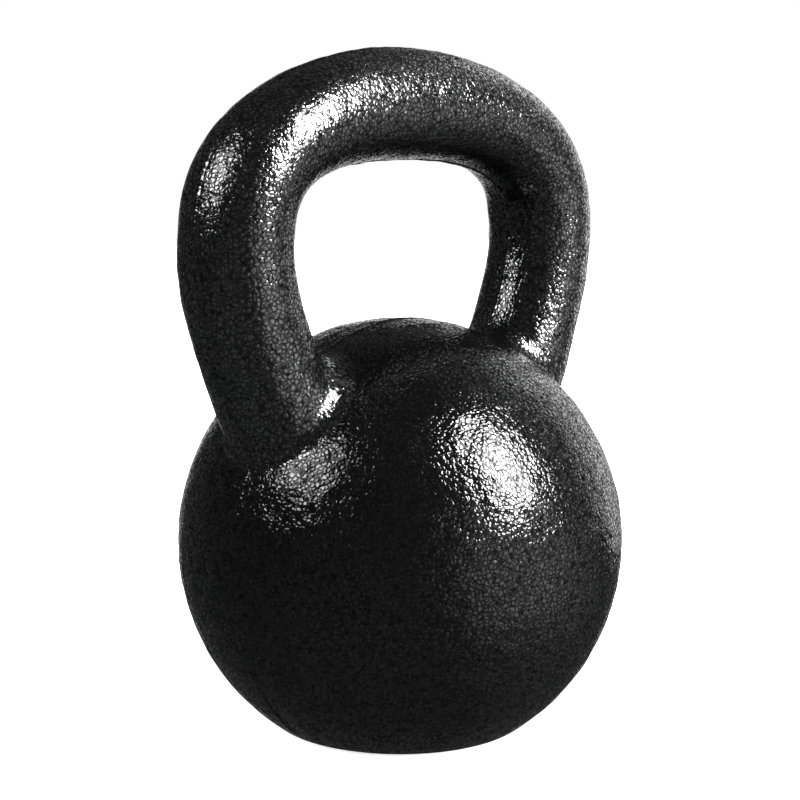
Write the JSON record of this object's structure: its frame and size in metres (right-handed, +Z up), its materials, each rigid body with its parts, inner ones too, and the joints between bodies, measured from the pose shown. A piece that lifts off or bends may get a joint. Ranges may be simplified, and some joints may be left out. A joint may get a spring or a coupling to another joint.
{
  "type": "kettlebell",
  "caption": "Cast-iron kettlebell with a flat-based ball and a thick looped handle, in black textured enamel.",
  "frame": {"origin": "middle of the flat base, on the surface that the kettlebell stands on", "axes": "+Z up from the base to the grip, +X across the width of the handle, +Y through the window of the handle"},
  "size_m": [0.1812, 0.154, 0.2315],
  "materials": {
    "ball_enamel": "black textured enamel over cast iron, glossy with a fine pebbled grain",
    "handle_enamel": "black textured enamel over cast iron, glossy with a fine pebbled grain",
    "shot_and_resin": "poured resin filled with steel shot",
    "plug_steel": "turned steel disc"
  },
  "bodies": {
    "root": {"ball": "ball_enamel", "handle": "handle_enamel", "calibration_fill": "shot_and_resin", "base_plug": "plug_steel"}
  },
  "joints": []
}
